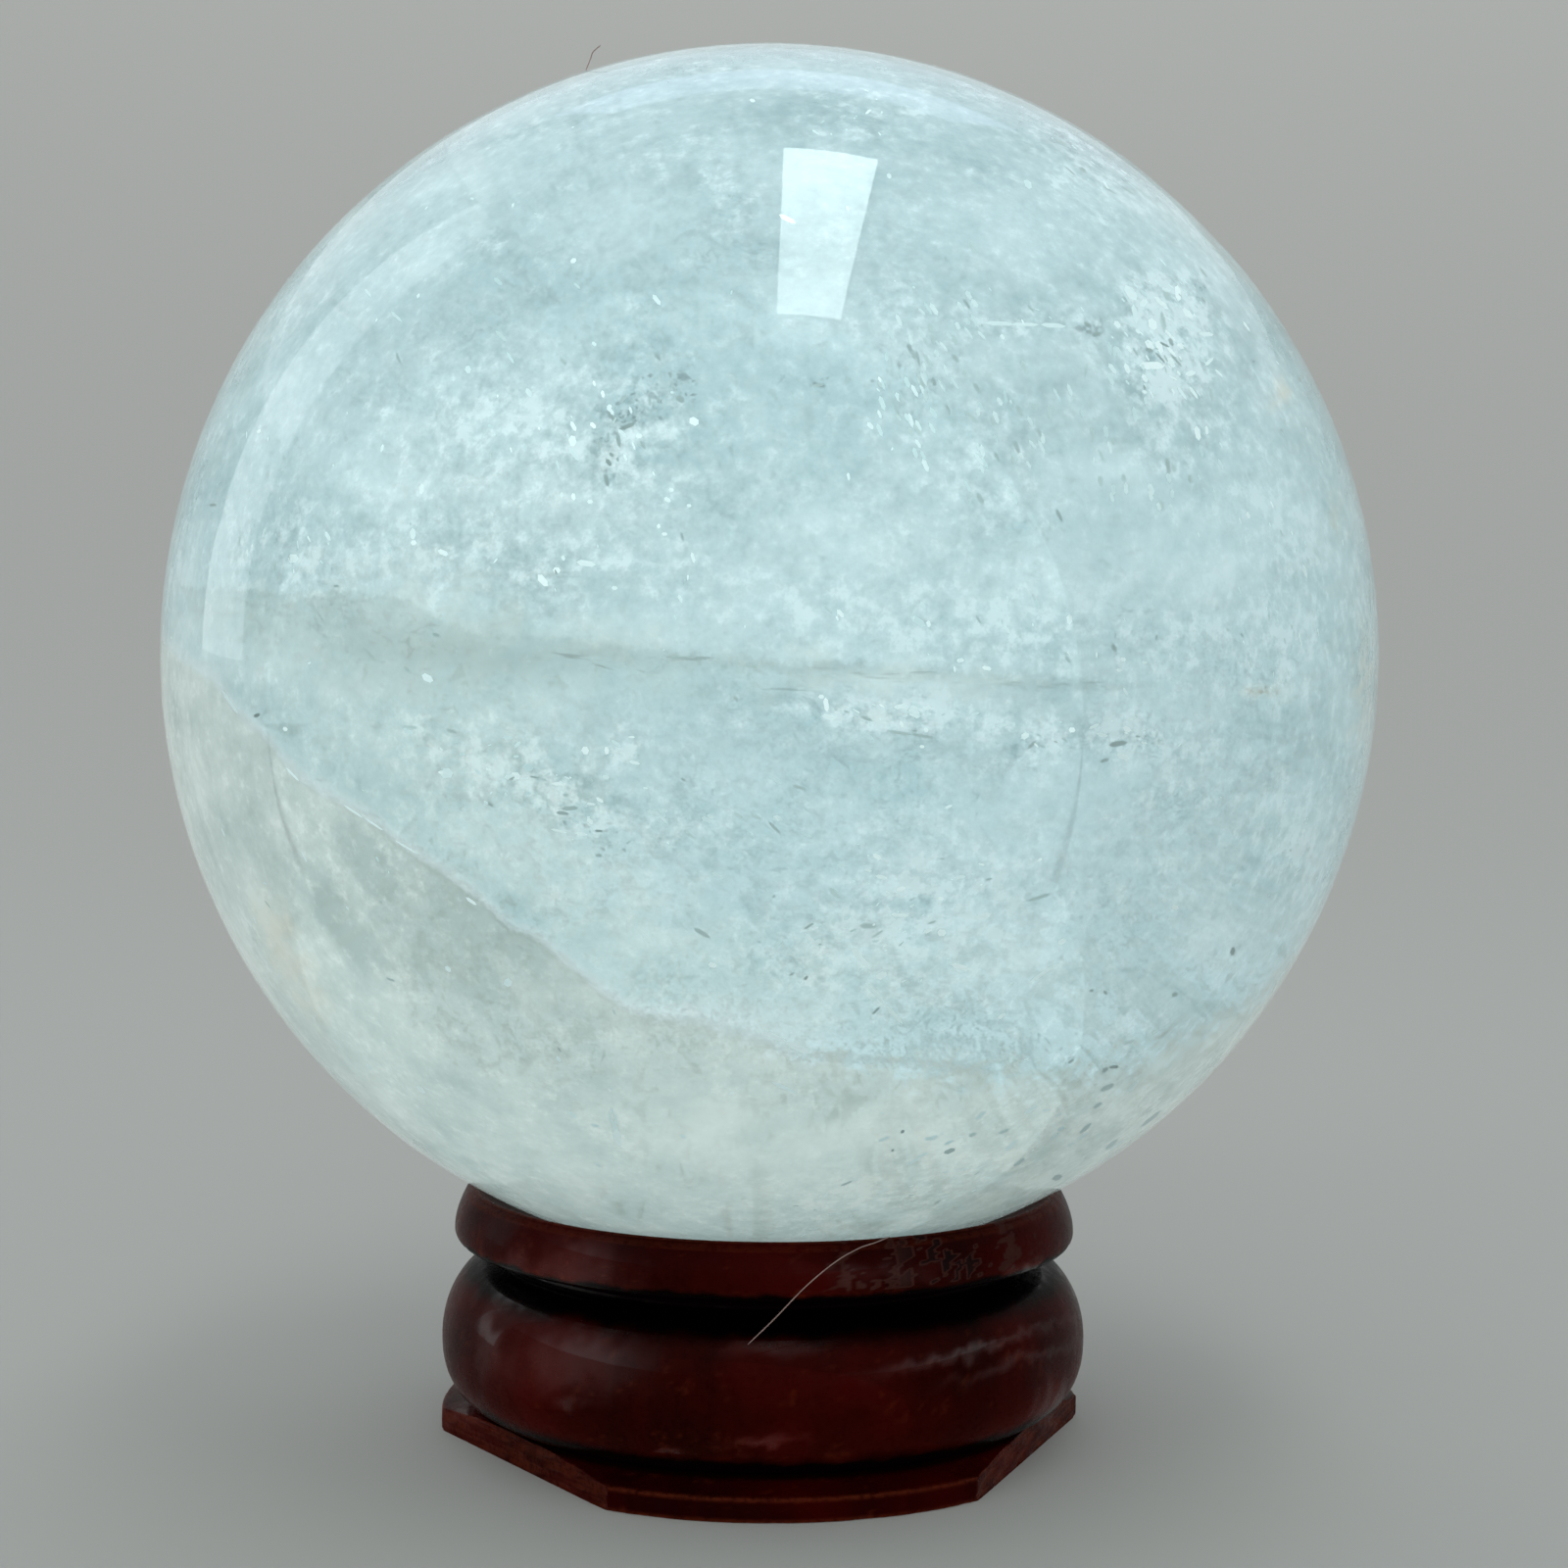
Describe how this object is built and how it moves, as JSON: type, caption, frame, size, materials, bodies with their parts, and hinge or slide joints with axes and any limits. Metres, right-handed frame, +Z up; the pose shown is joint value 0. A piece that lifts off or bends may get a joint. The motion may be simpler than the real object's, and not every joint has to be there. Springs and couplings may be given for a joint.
{
  "type": "quartz sphere on a wooden stand",
  "caption": "Polished milky quartz ball resting in the dished seat of a small turned, lacquered wooden ring stand.",
  "frame": {"origin": "centre of the stand's flat underside, where it meets the table", "axes": "+Z up along the axis of the stand and the sphere, -Y towards the front blunt toe of the stand's foot"},
  "size_m": [0.06, 0.06, 0.0688],
  "materials": {
    "quartz": "polished, milky and translucent, pale mint white with veils and clouds inside",
    "lacquered_wood": "dark red-brown gloss lacquer, worn to orange-brown on its edges"
  },
  "bodies": {
    "root": {"quartz_sphere": "quartz", "wood_stand": "lacquered_wood"}
  },
  "joints": []
}
